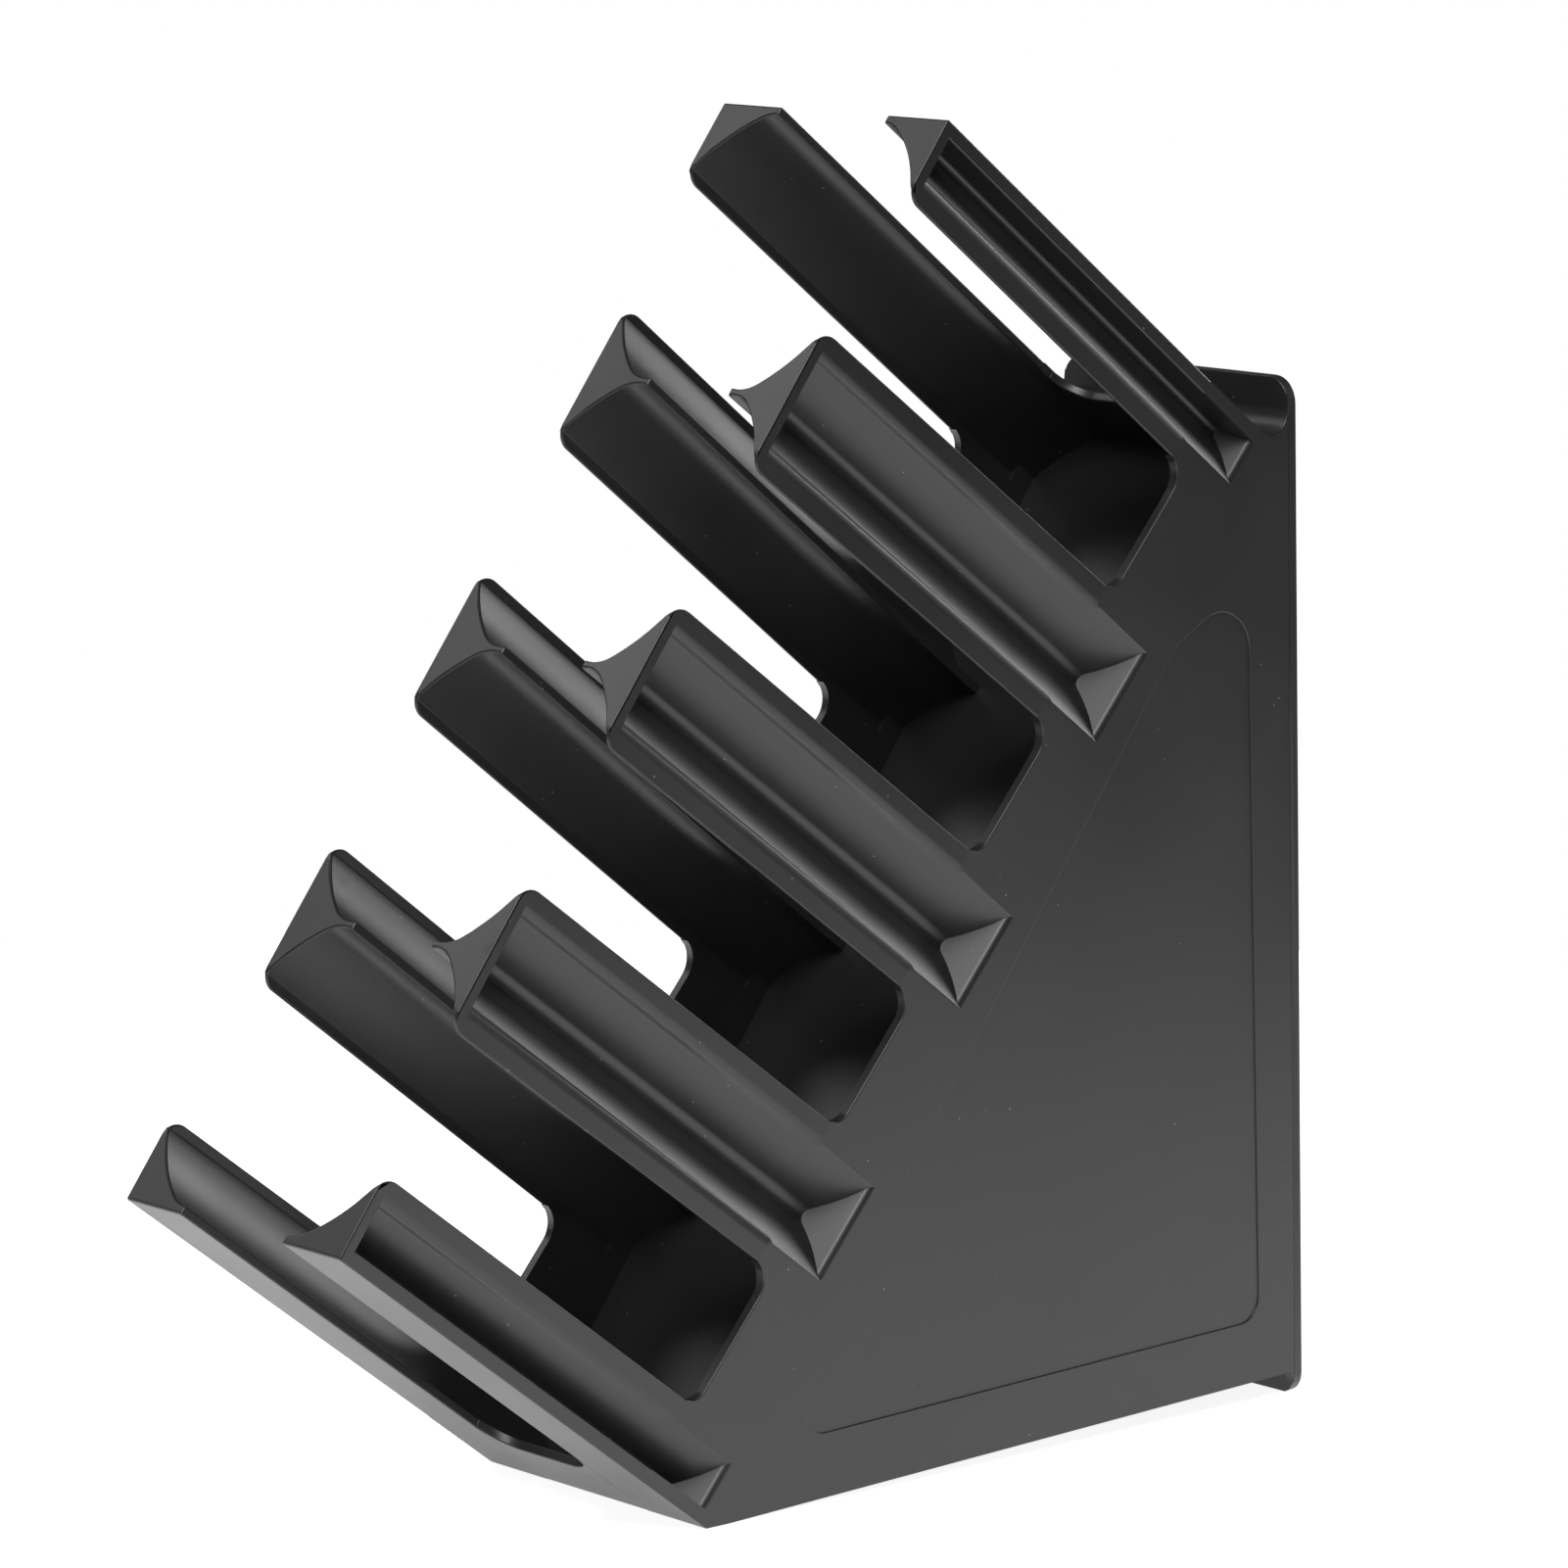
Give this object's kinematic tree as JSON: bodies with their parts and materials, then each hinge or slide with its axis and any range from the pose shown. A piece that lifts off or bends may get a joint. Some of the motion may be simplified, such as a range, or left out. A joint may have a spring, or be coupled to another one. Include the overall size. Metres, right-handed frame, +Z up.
{
  "type": "cup and lid organiser",
  "caption": "Tall narrow countertop organiser with inclined open-sided round channels, one above the other, that hold stacked cups and lids.",
  "frame": {"origin": "on the standing surface, under the middle of the bounding box", "axes": "+Z up, -Y towards the open front of the channels, +X to the right as seen from the front"},
  "size_m": [0.108, 0.4318, 0.4499],
  "materials": {
    "black_plastic": "satin moulded"
  },
  "bodies": {
    "root": {"side_panel_left": "black_plastic", "side_panel_right": "black_plastic", "back_panel": "black_plastic", "top_cover": "black_plastic", "front_skirt": "black_plastic", "end_stop_1": "black_plastic", "end_stop_2": "black_plastic", "end_stop_3": "black_plastic", "end_stop_4": "black_plastic", "arm_left_1": "black_plastic", "arm_left_2": "black_plastic", "arm_left_3": "black_plastic", "arm_left_4": "black_plastic", "arm_left_5": "black_plastic", "arm_right_1": "black_plastic", "arm_right_2": "black_plastic", "arm_right_3": "black_plastic", "arm_right_4": "black_plastic", "arm_right_5": "black_plastic", "arm_root_left_1": "black_plastic", "arm_root_left_2": "black_plastic", "arm_root_left_3": "black_plastic", "arm_root_left_4": "black_plastic", "arm_root_left_5": "black_plastic", "arm_root_right_1": "black_plastic", "arm_root_right_2": "black_plastic", "arm_root_right_3": "black_plastic", "arm_root_right_4": "black_plastic", "arm_root_right_5": "black_plastic"}
  },
  "joints": []
}
